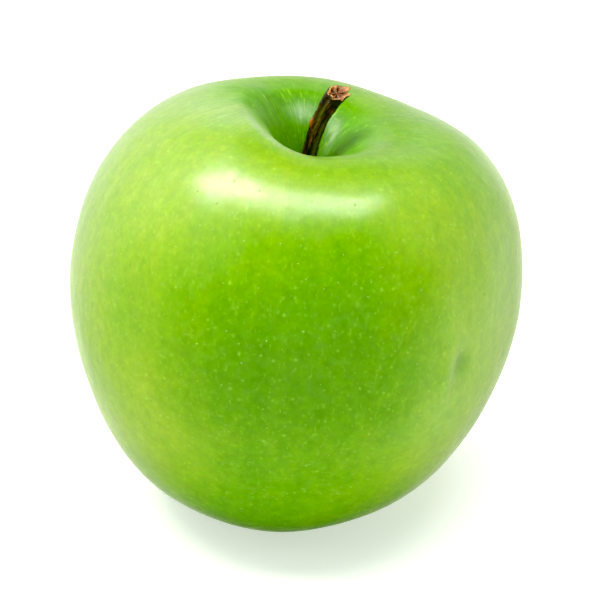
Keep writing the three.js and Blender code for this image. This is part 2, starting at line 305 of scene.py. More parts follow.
def read_net(tree):
    """A point's place along its net and its turn round it, and that turn's cosine and sine."""
    place, turn = (add(tree, "GeometryNodeInputNamedAttribute", {"Name": name})
                   for name in ("place", "turn"))
    spin = [add(tree, "ShaderNodeMath", [turn], operation=way) for way in ("COSINE", "SINE")]
    return place, turn, spin


def end_tree(tree, given, geometry):
    """Makes real geometry of any instances, and gives it the material."""
    real = add(tree, "GeometryNodeRealizeInstances", {"Geometry": geometry})
    done = add(tree, "GeometryNodeSetMaterial", {"Geometry": real, "Material": given["Finish"]})
    add(tree, "NodeGroupOutput", {"Geometry": done})


def grow(name, rule, mesh, **inputs):
    """Runs the tree called `rule` on a mesh; returns an object that holds the result as a mesh."""
    tree = bpy.data.node_groups[rule]
    piece = bpy.data.objects.new(name, mesh)
    bpy.context.scene.collection.objects.link(piece)
    modifier = piece.modifiers.new(rule, "NODES")
    modifier.node_group = tree
    for socket in tree.interface.items_tree:
        if socket.in_out == "INPUT" and socket.name in inputs:
            modifier[socket.identifier] = inputs[socket.name]
    ready = piece.evaluated_get(bpy.context.evaluated_depsgraph_get())
    grown = bpy.data.meshes.new_from_object(ready)
    piece.modifiers.remove(modifier)
    piece.data = grown
    grown.name = name
    return piece


print("kinds of inputs:", ", ".join(kind.__name__ for kind in SOCKETS))

# %% The stations of the outline
tree, given = new_tree("apple_body", FRUIT_SIZES)
place, turn, spin = read_net(tree)
swung = {}
for label, swings in SWINGS.items():
    swung[label] = given[label]
    for far, count, at in swings:
        phase = add(tree, "ShaderNodeMath", [
            turn, count, -count * math.radians(at)], operation="MULTIPLY_ADD")
        wave = add(tree, "ShaderNodeMath", [phase], operation="COSINE")
        swung[label] = add(tree, "ShaderNodeMath", [
            wave, far, swung[label]], operation="MULTIPLY_ADD")
stations = {label: add(tree, "ShaderNodeCombineXYZ", {
    "X": swung[label + " Radius"], "Z": swung[label + " Height"]})
    for label in ("Crest", "Cheek", "Base")}
for label in ("Cavity Floor", "Basin Floor"):
    stations[label] = add(tree, "ShaderNodeCombineXYZ", {"Z": given[label]})
crest_bend = add(tree, "ShaderNodeMath", [swung["Crest Bend"], -1.0], operation="MULTIPLY")
handles_round = {"Crest Bend": add(tree, "ShaderNodeCombineXYZ", {"X": crest_bend})}
print("stations of the outline:", ", ".join(stations))

# %% [markdown]
# A Bezier curve is made by blending. Take its four points, blend each with the next, and do the
# same with the three results and then with the two, always by the same share. What is left is
# the point of the curve at that share, and the last two points show which way it runs.

# %% The curves between the stations
def bezier(tree, points, share):
    """The point of a Bezier curve at a share of its run, and the two points last blended."""
    while len(points) > 1:
        last = points
        points = [add(tree, "ShaderNodeMix", {"Factor": share, "A": a, "B": b},
                      data_type="VECTOR") for a, b in zip(points, points[1:])]
    return points[0], last


outline = stations["Cavity Floor"]
for number, (start, leaving, arriving, end) in enumerate(OUTLINE):
    share = add(tree, "ShaderNodeMapRange", {
        "Value": place, "From Min": number, "From Max": number + 1})
    handles = [add(tree, "ShaderNodeVectorMath", [
        stations[label], handles_round.get(handle, handle)], operation="ADD")
        for label, handle in ((start, leaving), (end, arriving))]
    point, _ = bezier(tree, [stations[start], *handles, stations[end]], share)
    step = add(tree, "ShaderNodeVectorMath", [point, stations[start]], operation="SUBTRACT")
    outline = add(tree, "ShaderNodeVectorMath", [outline, step], operation="ADD")
print("curves:", len(OUTLINE), "with", len(tree.nodes), "nodes so far")

# %% Round the leaning axis
def lean_at(height):
    """How far the fruit's axis stands to the right at a height."""
    return LEAN * (height / LEAN_HEIGHT - 0.5)


drawn = add(tree, "ShaderNodeSeparateXYZ", [outline]).outputs
lean = add(tree, "ShaderNodeMath", [
    drawn["Z"], LEAN / LEAN_HEIGHT, -LEAN / 2], operation="MULTIPLY_ADD")
out_x = add(tree, "ShaderNodeMath", [drawn["X"], spin[0], lean], operation="MULTIPLY_ADD")
out_y = add(tree, "ShaderNodeMath", [drawn["X"], spin[1]], operation="MULTIPLY")
round_it = add(tree, "ShaderNodeCombineXYZ", {"X": out_x, "Y": out_y, "Z": drawn["Z"]})
in_metres = add(tree, "ShaderNodeVectorMath", {0: round_it, "Scale": MM}, operation="SCALE")
body = add(tree, "GeometryNodeSetPosition", {
    "Geometry": given["Geometry"], "Position": in_metres})
print("axis at the base and at the crest, mm:", lean_at(0), lean_at(LEAN_HEIGHT))

# %% [markdown]
# A real apple is never as even as a formula. The relief moves each point a little in or out, the
# way the surface faces there. There are slow swells a few millimetres wide, which make a
# highlight wander, and fine folds that run down into the cavity and the basin. In the cheek is
# one small dimple, where the skin was pinched while the fruit was small, with a crease and a low
# ridge beside it. A low bulge in the back wall of the cavity catches the light of the soft box.
# All of this could be sculpted with brushes. Here noise, waves and soft bells are added up in
# the tree, so that each of them keeps a size that can be changed.

# %% Swells and folds
SWELLS = [(9.0, 0.26), (3.2, 0.07)]  # how wide, and how high from the lowest to the highest
FOLDS = [  # where on the outline they begin, and where they end; (how many, size); how high
    ((0.25, 0.6), (1.15, 0.75), [(9, 0.6), (17, 0.3)], 0.035),  # in the cavity
    ((2.75, 3.2), (3.95, 3.55), [(10, 0.7), (23, 0.3)], 0.22)]  # in the basin
WOBBLE_SCALE, WOBBLE_SHIFT = 3.0, 8.0  # noise round the fruit, and how far it turns a fold
where = add(tree, "GeometryNodeInputPosition")
relief = 0.0
for wide, high in SWELLS:
    bumps = add(tree, "ShaderNodeTexNoise", {
        "Vector": where, "Scale": 1 / (wide * MM), "Detail": 1.0})
    relief = add(tree, "ShaderNodeMath", [
        bumps.outputs[0], high, relief], operation="MULTIPLY_ADD")
circle = add(tree, "ShaderNodeCombineXYZ", {"X": spin[0], "Y": spin[1]})
wobble = add(tree, "ShaderNodeTexNoise", {
    "Vector": circle, "Scale": WOBBLE_SCALE, "Detail": 0.0})
wobble = add(tree, "ShaderNodeMath", [wobble.outputs[0], WOBBLE_SHIFT], operation="MULTIPLY")
for begin, fade, folds, high in FOLDS:
    share = add(tree, "ShaderNodeMapRange", {
        "Value": place, "From Min": begin[0], "From Max": begin[1], "To Max": high},
        interpolation_type="SMOOTHSTEP")
    left = add(tree, "ShaderNodeMapRange", {
        "Value": place, "From Min": fade[0], "From Max": fade[1]}, interpolation_type="SMOOTHSTEP")
    share = add(tree, "ShaderNodeMath", [share, left], operation="MULTIPLY")
    for count, size in folds:
        phase = add(tree, "ShaderNodeMath", [turn, count, wobble], operation="MULTIPLY_ADD")
        wave = add(tree, "ShaderNodeMath", [phase], operation="COSINE")
        wave = add(tree, "ShaderNodeMath", [wave, size], operation="MULTIPLY")
        relief = add(tree, "ShaderNodeMath", [wave, share, relief], operation="MULTIPLY_ADD")
print("folds in a turn:", [count for _, _, folds, _ in FOLDS for count, _ in folds])

# %% The dimple and the bulge
def bell(tree, offset):
    """1 where the offset is nothing, falling softly to 0 on all sides as it grows past 1."""
    far = add(tree, "ShaderNodeVectorMath", [offset, offset], operation="DOT_PRODUCT")
    far = add(tree, "ShaderNodeMath", [far, -1.0], operation="MULTIPLY")
    return add(tree, "ShaderNodeMath", [far], operation="EXPONENT")


DIMPLE_AT, DIMPLE_TILT = -45.2, 12.0
DIMPLE_MIDDLE = (28.0, -27.9, 37.8)
DIMPLE = [  # how high; its middle and its reach as (out, round, up)
    (-0.65, (0, 0.0, 0), (9, 2.2, 3.0)),
    (-0.22, (0, -1.0, -0.4), (9, 0.8, 2.2)),
    (0.30, (0, -3.2, -0.3), (9, 2.1, 4.8)),
    (-0.10, (0, -0.8, -4.5), (9, 1.0, 5.5))]
BULGES = [(0.46, (1.2, 5.5, 65.2), (3.2, 3.2, 3.2))]  # the same, in the fruit's own axes
off = add(tree, "ShaderNodeVectorMath", [where, Vector(DIMPLE_MIDDLE) * MM], operation="SUBTRACT")
local = add(tree, "ShaderNodeVectorRotate", {
    "Vector": off, "Angle": -math.radians(DIMPLE_AT)}, rotation_type="Z_AXIS")
local = add(tree, "ShaderNodeVectorRotate", {
    "Vector": local, "Angle": math.radians(DIMPLE_TILT)}, rotation_type="X_AXIS")
pinch = None
for seen_from, rows in ((local, DIMPLE), (where, BULGES)):
    for high, middle, reach in rows:
        near = add(tree, "ShaderNodeVectorMath", [
            seen_from, Vector(middle) * MM], operation="SUBTRACT")
        near = add(tree, "ShaderNodeVectorMath", [near, Vector(reach) * MM], operation="DIVIDE")
        near = bell(tree, near)
        # The first and widest hollow is also laid as a deeper, darker green: partly the pinched
        # skin's own colour and partly painted shade of its crease.
        pinch = pinch or near  # the first and widest hollow is also a deeper green
        relief = add(tree, "ShaderNodeMath", [near, high, relief], operation="MULTIPLY_ADD")
print("dimple, mm deep:", -DIMPLE[0][0], "and bulge, mm high:", BULGES[0][0])

# %% Raise the relief and level the feet
LOWEST = (-1.0, -1.0, 0.0)  # a metre off sideways, so that only the height is held to the floor
even = sum(high for _, high in SWELLS) / 2
relief = add(tree, "ShaderNodeMath", [relief, even], operation="SUBTRACT")
outward = add(tree, "GeometryNodeInputNormal")
lift = add(tree, "ShaderNodeVectorMath", {0: outward, "Scale": relief}, operation="SCALE")
lift = add(tree, "ShaderNodeVectorMath", {0: lift, "Scale": MM}, operation="SCALE")
body = add(tree, "GeometryNodeSetPosition", {"Geometry": body, "Offset": lift})
level_feet = add(tree, "ShaderNodeVectorMath", [
    add(tree, "GeometryNodeInputPosition"), LOWEST], operation="MAXIMUM")
body = add(tree, "GeometryNodeSetPosition", {"Geometry": body, "Position": level_feet})
body = add(tree, "GeometryNodeSetShadeSmooth", {"Geometry": body})
body = add(tree, "GeometryNodeStoreNamedAttribute", {
    "Geometry": body, "Name": "pinch", "Value": pinch}, data_type="FLOAT")
end_tree(tree, given, body)
print("the whole rule of the fruit:", len(tree.nodes), "nodes")

# %% [markdown]
# Apple skin is a green layer of cells under a thin cuticle of clear wax. The green isn't even:
# it is deepest on the side that was in the shade and yellower on the others, it is drawn out in
# faint streaks from stem to calyx, as the fruit stretched while it grew, and it is mottled at a
# scale of a few millimetres and again at under a millimetre. Each of these is one noise at its
# real size. The deep green of the sides is partly painted shade: it is laid on towards the
# camera's side, on the top, underneath and at the front on the left. Low on the left the skin is
# painted paler, which is painted light. They add up to one number, ripeness, and a colour ramp
# turns that number into a green. A painted image could do the same, but it would blur close by
# and show its seam.

# %% Fields and patterns
SKIN_MAP_UNIT = 10.0  # one unit of the map's length is a centimetre
FIELDS = ("skin_map", "cavity", "bloom", "basin", "pinch", "spot")
NOISE_LOW, NOISE_HIGH = 0.3, 0.7  # nearly all that a noise gives lies between these


def skin_fields(tree):
    """Where a point is on the object, and the values that the skin's points carry."""
    fields = {"here": add(tree, "ShaderNodeTexCoord").outputs["Object"]}
    for name in FIELDS:
        read = add(tree, "ShaderNodeAttribute", attribute_name=name)
        fields[name] = read.outputs["Vector" if name == "skin_map" else "Fac"]
    return fields


def pattern(tree, field, features, detail, roughness=0.5):
    """Noise laid on a field, with so many features in one unit of the field each way."""
    drawn = add(tree, "ShaderNodeVectorMath", [field, features], operation="MULTIPLY")
    return add(tree, "ShaderNodeTexNoise", {
        "Vector": drawn, "Scale": 1.0, "Detail": detail, "Roughness": roughness}).outputs[0]


def tinted(tree, color, *tints):
    """Lays tints over a colour one by one, each as a pair of its share and its hex code."""
    for share, tint in tints:
        color = add(tree, "ShaderNodeMix", {
            "Factor": share, "A": color, "B": linear(tint)}, data_type="RGBA")
    return color


print("fields of the skin:", ", ".join(FIELDS))

# %% Ripeness, with painted shade and light
FRUIT_MIDDLE = Vector((-0.4, -0.4, 37.0))
RIPE, CAVITY_GREEN_AND_SHADE = 0.74, 0.45
# These rows are partly the fruit's own colour and partly painted shade: they make the skin greener
# and darker towards the camera's side, on the top, underneath and at the front on the left. The
# last row, with a minus, paints the skin paler low on the left, as painted light.
GREENER_SIDES_AND_PAINTED_SHADE = [  # how much greener; which way from the middle; where it begins and where it is full
    (0.46, (0.04, -0.985, 0.16), 0.76, 0.97), (0.24, (0.30, 0.05, 0.95), 0.70, 0.97),
    (0.46, (-0.10, -0.50, -0.86), 0.67, 0.97), (0.14, (-0.62, -0.72, 0.31), 0.955, 0.995),
    (-0.14, (-0.70, -0.45, -0.56), 0.90, 0.98)]
PATTERNS = [  # laid on, features in a unit of it, detail, and how much it counts
    ("skin_map", (15.0, 15.0, 0.55), 3.0, 0.22),  # fine streaks
    ("skin_map", (4.5, 4.5, 0.30), 2.0, 0.26),  # broad bands
    ("here", (55.0, 55.0, 55.0), 1.0, 0.30),  # patches of 18 mm
    ("here", (320.0, 320.0, 320.0), 3.0, 0.28),  # mottling of 3 mm
    ("here", (1400.0, 1400.0, 1400.0), 1.0, 0.26)]  # grain of 0.7 mm


def ripeness_and_shade(tree, fields):
    """0 for the deepest green of the shade, 1 for the palest yellow-green."""
    outward = add(tree, "ShaderNodeVectorMath", [
        fields["here"], FRUIT_MIDDLE * MM], operation="SUBTRACT")
    outward = add(tree, "ShaderNodeVectorMath", [outward], operation="NORMALIZE")
    ripe = RIPE - sum(counts for _, _, _, counts in PATTERNS) / 2
    for greener, way, begins, full in GREENER_SIDES_AND_PAINTED_SHADE:
        nearly = add(tree, "ShaderNodeVectorMath", [outward, way], operation="DOT_PRODUCT")
        shade = add(tree, "ShaderNodeMapRange", {
            "Value": nearly, "From Min": begins, "From Max": full, "To Max": greener})
        ripe = add(tree, "ShaderNodeMath", [ripe, shade], operation="SUBTRACT")
    for laid_on, features, detail, counts in PATTERNS:
        drawn = pattern(tree, fields[laid_on], features, detail)
        ripe = add(tree, "ShaderNodeMath", [drawn, counts, ripe], operation="MULTIPLY_ADD")
    # Deeper in the cavity the green is deeper: partly its own colour and partly painted shade of
    # the hollow.
    return add(tree, "ShaderNodeMath", [fields["cavity"], -CAVITY_GREEN_AND_SHADE, ripe],
               operation="MULTIPLY_ADD")


print("patterns in the green:", len(PATTERNS))

# %% The greens
GREENS = [(0.0, "438300"), (0.16, "509300"), (0.32, "5A9A00"),
          (0.54, "6EA400"), (0.78, "83AD03"), (1.0, "97B824")]


def set_stops(ramp, colors):
    """Gives a colour ramp its stops, as pairs of a position and a hex colour."""
    stops = ramp.color_ramp.elements
    while len(stops) < len(colors):
        stops.new(0.5)
    for stop, (position, color) in zip(stops, colors):
        stop.position, stop.color = position, linear(color)


print("greens from shade to sun:", ", ".join(green for _, green in GREENS))

# %% [markdown]
# The cavity is shaded on the tree and stretches most, so it is a clean deep green with clear pale
# streaks that run down to the stem; its deep green is partly painted shade of the hollow as well.
# Right at the stem the skin is russet: the wax cracked there while the fruit was small, and brown
# cork grew in its place. On one side of the mouth of the cavity the skin looks hazed and paler:
# partly it is powdery bloom that is left there, where hands have not rubbed it off as on the
# cheeks, and partly painted reflection. A pale patch on the back wall of the cavity is a painted
# highlight. The basin at the other end is paler too, and the pinched skin of the dimple is a
# deeper green, partly its own and partly painted shade of its crease. Each of these could be a
# material of its own, but it would end at a hard edge. Here each is a tint, laid over the green by
# a share that fades.

# %% Cavity, russet, bloom and painted highlight, basin, and the dimple's painted shade
STREAK_FEATURES, STREAK_FROM, STREAK_SHARE = (24.0, 24.0, 2.2), (0.55, 0.76), 0.48
RUSSET_RAGGED, RUSSET_SHIFT = 0.9, -0.35  # how far its edge strays, in centimetres
RUSSET_DEEP, RUSSET_SHARE = (0.55, 0.15), 0.75
# The bloom's share also lays the painted reflection at the mouth of the cavity and the painted
# highlight on its back wall; the dimple's share lays a deeper green that is partly painted shade.
BLOOM_AND_HIGHLIGHT_SHARE, BASIN_SHARE, DIMPLE_SHADE_SHARE = (0.12, 0.26), 0.35, 0.55


def tint_ends(tree, fields, color):
    """Streaks, russet, bloom, painted highlight at the cavity; paler basin; painted dimple shade.
    """
    drawn = pattern(tree, fields["skin_map"], STREAK_FEATURES, 3.0)
    streak = add(tree, "ShaderNodeMapRange", {
        "Value": drawn, "From Min": STREAK_FROM[0], "From Max": STREAK_FROM[1],
        "To Max": STREAK_SHARE}, interpolation_type="SMOOTHSTEP")
    streak = add(tree, "ShaderNodeMath", [streak, fields["cavity"]], operation="MULTIPLY")
    run = add(tree, "ShaderNodeSeparateXYZ", [fields["skin_map"]]).outputs["Z"]
    edge = add(tree, "ShaderNodeMath", [drawn, RUSSET_RAGGED, RUSSET_SHIFT],
               operation="MULTIPLY_ADD")
    edge = add(tree, "ShaderNodeMath", [run, edge], operation="SUBTRACT")
    russet = add(tree, "ShaderNodeMapRange", {
        "Value": edge, "From Min": RUSSET_DEEP[0], "From Max": RUSSET_DEEP[1],
        "To Max": RUSSET_SHARE}, interpolation_type="SMOOTHSTEP")
    bloom = add(tree, "ShaderNodeMapRange", {
        "Value": drawn, "From Min": NOISE_LOW, "From Max": NOISE_HIGH,
        "To Min": BLOOM_AND_HIGHLIGHT_SHARE[0], "To Max": BLOOM_AND_HIGHLIGHT_SHARE[1]})
    bloom = add(tree, "ShaderNodeMath", [bloom, fields["bloom"]], operation="MULTIPLY")
    basin, pinch = (add(tree, "ShaderNodeMath", [fields[name], share], operation="MULTIPLY")
                    for name, share in (("basin", BASIN_SHARE), ("pinch", DIMPLE_SHADE_SHARE)))
    return tinted(tree, color, (streak, "A2DA28"), (russet, "7A7430"), (bloom, "E4F0DC"),
                  (basin, "A9BD55"), (pinch, "3F7D08"))


print("share of the streaks in the cavity:", STREAK_SHARE)

# %% [markdown]
# An apple breathes through lenticels: pale specks of cork, a few in each square centimetre near
# the stem and many more, and smaller, near the calyx. The larger ones are real domes, made
# further down. The smallest are only a blur of paler cells, so here they are a Voronoi pattern
# in the colour, with long pale flecks and faint clouds between them. Under them the green layer
# is thicker in one place than in the next, which makes it a little darker or lighter.

# %% Small specks and flecks
SPECKLES = {  # tint; where in its own pattern it begins and where it is full; its share there
    "cloud": ("DCEFB4", 0.45, 0.80, 0.02),
    "fleck": ("A2D244", 0.56, 0.80, 0.20),
    "speck": ("A4D548", 0.26, 0.04, 0.34),
    "spot": ("ACD85C", 0.1, 0.9, 0.24)}
SPECK_MM, CLOUD_MM, FLECK_FEATURES = 1.7, 1.4, (60.0, 60.0, 11.0)
LAYER_MM, LAYER_SHARE = 1.6, 0.075  # size of the thicker places, and how much darker they are


def speckle(tree, fields, color):
    """Clouds, flecks and specks; `spot` on the points turns the skin to the cork of a lenticel."""
    cells = add(tree, "ShaderNodeTexVoronoi", {
        "Vector": fields["here"], "Scale": 1 / (SPECK_MM * MM)})
    chance = add(tree, "ShaderNodeSeparateColor", [cells.outputs["Color"]])
    cloud, layer = (
        add(tree, "ShaderNodeTexNoise", {
            "Vector": fields["here"], "Scale": 1 / (size * MM), "Detail": detail}).outputs[0]
        for size, detail in ((CLOUD_MM, 2.0), (LAYER_MM, 4.0)))
    drawn = {"cloud": cloud, "fleck": pattern(tree, fields["skin_map"], FLECK_FEATURES, 1.0),
             "speck": cells.outputs["Distance"], "spot": fields["spot"]}
    for name, (tint, begins, full, most) in SPECKLES.items():
        share = add(tree, "ShaderNodeMapRange", {
            "Value": drawn[name], "From Min": begins, "From Max": full, "To Max": most},
            interpolation_type="SMOOTHSTEP")
        if name == "speck":
            share = add(tree, "ShaderNodeMath", [share, chance], operation="MULTIPLY")
        color = tinted(tree, color, (share, tint))
    layer = add(tree, "ShaderNodeMapRange", {
        "Value": layer, "From Min": NOISE_LOW, "From Max": NOISE_HIGH,
        "To Min": 1 - LAYER_SHARE, "To Max": 1 + LAYER_SHARE})
    return add(tree, "ShaderNodeMix", {
        "Factor": 1.0, "A": color, "B": layer}, data_type="RGBA", blend_type="MULTIPLY")


print("specks: one in", SPECK_MM, "mm")

# %% [markdown]
# The surface is a smooth, clear wax, rubbed to a soft shine: an IOR of about 1.45, a roughness
# near 0.3, and only the faintest unevenness, a few hundredths of a millimetre. Where hands have
# polished it, a second coat, worn in patches, lies on top; the cavity lacks it. A thin powder of
# bloom is still on it, too thin to see but at the edges, where a sheen stands for it. Some light
# goes under the skin and comes back greener, as in all fruit, so there is a little subsurface
# scattering, a millimetre or two deep. Lenticels are cork, so they are duller.

# %% The waxed skin
WAX_IOR, WAX_ROUGH, CORK_ROUGHER = 1.45, (0.28, 0.34), 0.25
UNEVEN_MM, UNEVEN_HIGH = 2.5, 0.04
COAT_IOR, COAT_ROUGH = 1.56, 0.26
COAT_ENDS, COAT_IN_CAVITY = 0.4, 0.05  # how far in the cavity it ends, and what is left there
WORN_FEATURES, WORN_LEFT = (24.0, 24.0, 7.0), 0.6  # patches about 1.5 mm across
CELLS_DEEP, CELLS_SPREAD = 2.0 * MM, (0.5, 1.0, 0.12)  # how far red, green and blue get


def skin_material(name, subsurface):
    """Waxed green apple skin."""
    material, tree = new_material(name)
    fields = skin_fields(tree)
    green = add(tree, "ShaderNodeValToRGB", {"Fac": ripeness_and_shade(tree, fields)})
    set_stops(green, GREENS)
    color = speckle(tree, fields, tint_ends(tree, fields, green))
    uneven = add(tree, "ShaderNodeTexNoise", {
        "Vector": fields["here"], "Scale": 1 / (UNEVEN_MM * MM), "Detail": 3.0}).outputs[0]
    bump = add(tree, "ShaderNodeBump", {
        "Strength": 0.4, "Distance": UNEVEN_HIGH * MM, "Height": uneven})
    worn = pattern(tree, fields["skin_map"], WORN_FEATURES, 3.0)
    rough, worn = (
        add(tree, "ShaderNodeMapRange", {
            "Value": value, "From Min": NOISE_LOW, "From Max": NOISE_HIGH,
            "To Min": least, "To Max": most})
        for value, least, most in ((uneven, *WAX_ROUGH), (worn, WORN_LEFT, 1.0)))
    rough = add(tree, "ShaderNodeMath", [fields["spot"], CORK_ROUGHER, rough],
                operation="MULTIPLY_ADD")
    coat = add(tree, "ShaderNodeMapRange", {
        "Value": fields["cavity"], "From Max": COAT_ENDS, "To Min": 1.0, "To Max": COAT_IN_CAVITY})
    coat = add(tree, "ShaderNodeMath", [coat, worn], operation="MULTIPLY")
    wax = add(tree, "ShaderNodeBsdfPrincipled", {
        "Base Color": color, "Roughness": rough, "IOR": WAX_IOR, "Normal": bump,
        "Subsurface Weight": subsurface, "Subsurface Scale": CELLS_DEEP,
        "Subsurface Radius": CELLS_SPREAD, "Coat Weight": coat, "Coat Roughness": COAT_ROUGH,
        "Coat IOR": COAT_IOR, "Sheen Weight": 0.45, "Sheen Roughness": 0.25,
        "Sheen Tint": linear("D0F0A0")})
    add(tree, "ShaderNodeOutputMaterial", {"Surface": wax})
    return material


skin = skin_material("waxed_apple_skin", subsurface=0.12)
print("skin material:", len(skin.node_tree.nodes), "nodes")

# %% [markdown]
# Now the tree runs on the net, and the result is scaled by a hair so that it fills exactly the
# box of the solid that it replaces. Its points carry what the material needs: a map of the skin
# (round as a circle, so it has no seam, and down as a length), how deep a point lies in the
# cavity or in the basin, and how much bloom it has, together with the painted reflection at the
# mouth of the cavity and the painted highlight on its back wall.

# %% The fruit
fruit = grow("apple_skin", "apple_body", fruit_net, Finish=skin)
fruit_mesh = fruit.data
points = np.empty(3 * len(fruit_mesh.vertices))
fruit_mesh.vertices.foreach_get("co", points)
points = points.reshape(-1, 3) / MM
low, high = (np.array(corner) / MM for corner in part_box("fruit"))
own_low, own_high = points.min(0), points.max(0)
box_scale = (high - low) / (own_high - own_low)
box_shift = (high + low) / 2 - box_scale * (own_high + own_low) / 2


def to_frame(points):
    """From the rule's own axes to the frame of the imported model, in millimetres."""
    return np.asarray(points, float) * box_scale + box_shift


fruit_mesh.vertices.foreach_set("co", (to_frame(points) * MM).ravel())
fruit_mesh.update()
print("own size, mm:", np.round(own_high - own_low, 2), "solid's size:", np.round(high - low, 2))

# %% The map of the skin
# The mouth of the cavity gets a paler tint, greatest at one angle, partly bloom and partly painted
# reflection; a pale patch on the back wall of the cavity is a painted highlight.
BLOOM_AND_REFLECTION_AT = math.radians(-140)
PAINTED_HIGHLIGHT, PAINTED_HIGHLIGHT_AT = 0.55, (0.70, math.radians(108))  # on the back wall of the cavity
PAINTED_HIGHLIGHT_REACH = (0.06, math.radians(15))
CAVITY_EDGE, CAVITY_REACH = (0.55, 1.08), (0.22, -0.12)  # it reaches highest behind
MOUTH, BASIN_EDGE = (0.72, 0.95, 1.0, 1.22), (3.0, 3.7)


def smooth(low, high, value):
    """0 below low, 1 above high, and a soft slope between."""
    t = np.clip((value - low) / (high - low), 0, 1)
    return t * t * (3 - 2 * t)


rings = points[1:-1].reshape(-1, MERIDIANS, 3)
top_ring = np.repeat(points[:1], MERIDIANS, axis=0)
steps = np.linalg.norm(np.diff(rings, axis=0, prepend=[top_ring]), axis=-1)
run_down = np.append(np.cumsum(steps.mean(axis=1)), 0)
run_down[-1] = run_down[-2] + np.linalg.norm(points[-2] - points[-1])
angle = np.arange(MERIDIANS) * TURN / MERIDIANS
skin_map = np.zeros((len(points), 3))
skin_map[1:-1, 0] = np.tile(np.cos(angle), len(rings))
skin_map[1:-1, 1] = np.tile(np.sin(angle), len(rings))
skin_map[1:, 2] = np.append(np.repeat(run_down[:-1], MERIDIANS), run_down[-1]) / SKIN_MAP_UNIT
point_places = np.array([places[0], *np.repeat(places[1:-1], MERIDIANS), places[-1]])
put(fruit_mesh, "skin_map", "FLOAT_VECTOR", skin_map)
point_angles = np.array([0, *np.tile(angle, len(rings)), 0])
reach = CAVITY_REACH[0] * np.sin(point_angles) + CAVITY_REACH[1] * np.cos(point_angles)
put(fruit_mesh, "cavity", "FLOAT", 1 - smooth(*CAVITY_EDGE, point_places - reach))
mouth = smooth(*MOUTH[:2], point_places - reach) - smooth(*MOUTH[2:], point_places - reach)
# Bloom with painted reflection round the mouth, then the painted highlight on the back wall.
bloom = mouth * (0.5 + 0.5 * np.cos(point_angles - BLOOM_AND_REFLECTION_AT)) ** 2
painted_highlight = ((point_places - PAINTED_HIGHLIGHT_AT[0]) / PAINTED_HIGHLIGHT_REACH[0],
             (point_angles - PAINTED_HIGHLIGHT_AT[1]) / PAINTED_HIGHLIGHT_REACH[1])
bloom += PAINTED_HIGHLIGHT * np.exp(-painted_highlight[0] ** 2 - painted_highlight[1] ** 2)
put(fruit_mesh, "bloom", "FLOAT", bloom)
put(fruit_mesh, "basin", "FLOAT", smooth(*BASIN_EDGE, point_places))
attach(fruit, "root")
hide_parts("fruit")
print("skin:", len(fruit_mesh.polygons), "faces; one outline runs", round(run_down[-1], 1), "mm")

# %% [markdown]
# The larger lenticels are shallow domes of cork, a fifth to half a millimetre wide. They sit
# closer together towards the calyx and never touch. Placing hundreds by hand would be dull, so a
# Geometry Nodes tree scatters points over the skin, at least a set distance apart, and puts a
# small cone with a flat top on each. The cones take the skin's own fields from the point below
# them and get the same finish, so that each fades into the green at its edge.

# %% Scatter the lenticels
LENTICELS = {"Distance": 2.3 * MM, "Smallest": 0.10 * MM, "Largest": 0.24 * MM, "Seed": 7}
MOST = 4.0e5  # to a square metre, before the distance between them is kept
BARE_TO = (0.5, 0.9)  # the cavity is bare up to here on the outline, and from here it isn't
CROWD, FEWER = (1.1, 3.0), 0.45  # where they begin to crowd and where they do; the share before
DOME_SIDES, DOME_TOP, DOME_RISE, DOME_SUNK = 8, 0.45, 0.16, 0.08  # of the radius, but for sides
tree, given = new_tree("lenticels", LENTICELS)
place = add(tree, "GeometryNodeInputNamedAttribute", {"Name": "place"})
crowd = add(tree, "ShaderNodeMapRange", {
    "Value": place, "From Min": CROWD[0], "From Max": CROWD[1], "To Min": FEWER})
bare = add(tree, "ShaderNodeMapRange", {
    "Value": place, "From Min": BARE_TO[0], "From Max": BARE_TO[1]})
crowd = add(tree, "ShaderNodeMath", [crowd, bare], operation="MULTIPLY")
spread = add(tree, "GeometryNodeDistributePointsOnFaces", {
    "Mesh": given["Geometry"], "Distance Min": given["Distance"], "Density Max": MOST,
    "Density Factor": crowd, "Seed": given["Seed"]}, distribute_method="POISSON")
dome = add(tree, "GeometryNodeMeshCone", {
    "Vertices": DOME_SIDES, "Side Segments": 1, "Radius Top": DOME_TOP, "Radius Bottom": 1.0,
    "Depth": DOME_RISE + DOME_SUNK})
up_it = add(tree, "GeometryNodeTransform", {
    "Geometry": dome.outputs["Mesh"], "Translation": (0, 0, -DOME_SUNK)})
height = add(tree, "ShaderNodeSeparateXYZ", [add(tree, "GeometryNodeInputPosition")])
corky = add(tree, "ShaderNodeMath", [height.outputs["Z"], 0.0], operation="GREATER_THAN")
up_it = add(tree, "GeometryNodeStoreNamedAttribute", {
    "Geometry": up_it, "Name": "spot", "Value": corky}, data_type="FLOAT")
wide = add(tree, "FunctionNodeRandomValue", {
    "Min": given["Smallest"], "Max": given["Largest"], "Seed": given["Seed"]})
domes = add(tree, "GeometryNodeInstanceOnPoints", {
    "Points": spread, "Instance": up_it, "Rotation": spread.outputs["Rotation"], "Scale": wide})
domes = add(tree, "GeometryNodeRealizeInstances", {"Geometry": domes})
for name in FIELDS[:-1]:  # all but the spot, which the domes have of their own
    kind = "FLOAT_VECTOR" if name == "skin_map" else "FLOAT"
    below = add(tree, "GeometryNodeInputNamedAttribute", {"Name": name}, data_type=kind)
    below = add(tree, "GeometryNodeSampleNearestSurface", {
        "Mesh": given["Geometry"], "Value": below}, data_type=kind)
    domes = add(tree, "GeometryNodeStoreNamedAttribute", {
        "Geometry": domes, "Name": name, "Value": below}, data_type=kind)
domes = add(tree, "GeometryNodeSetShadeSmooth", {"Geometry": domes})
end_tree(tree, given, domes)

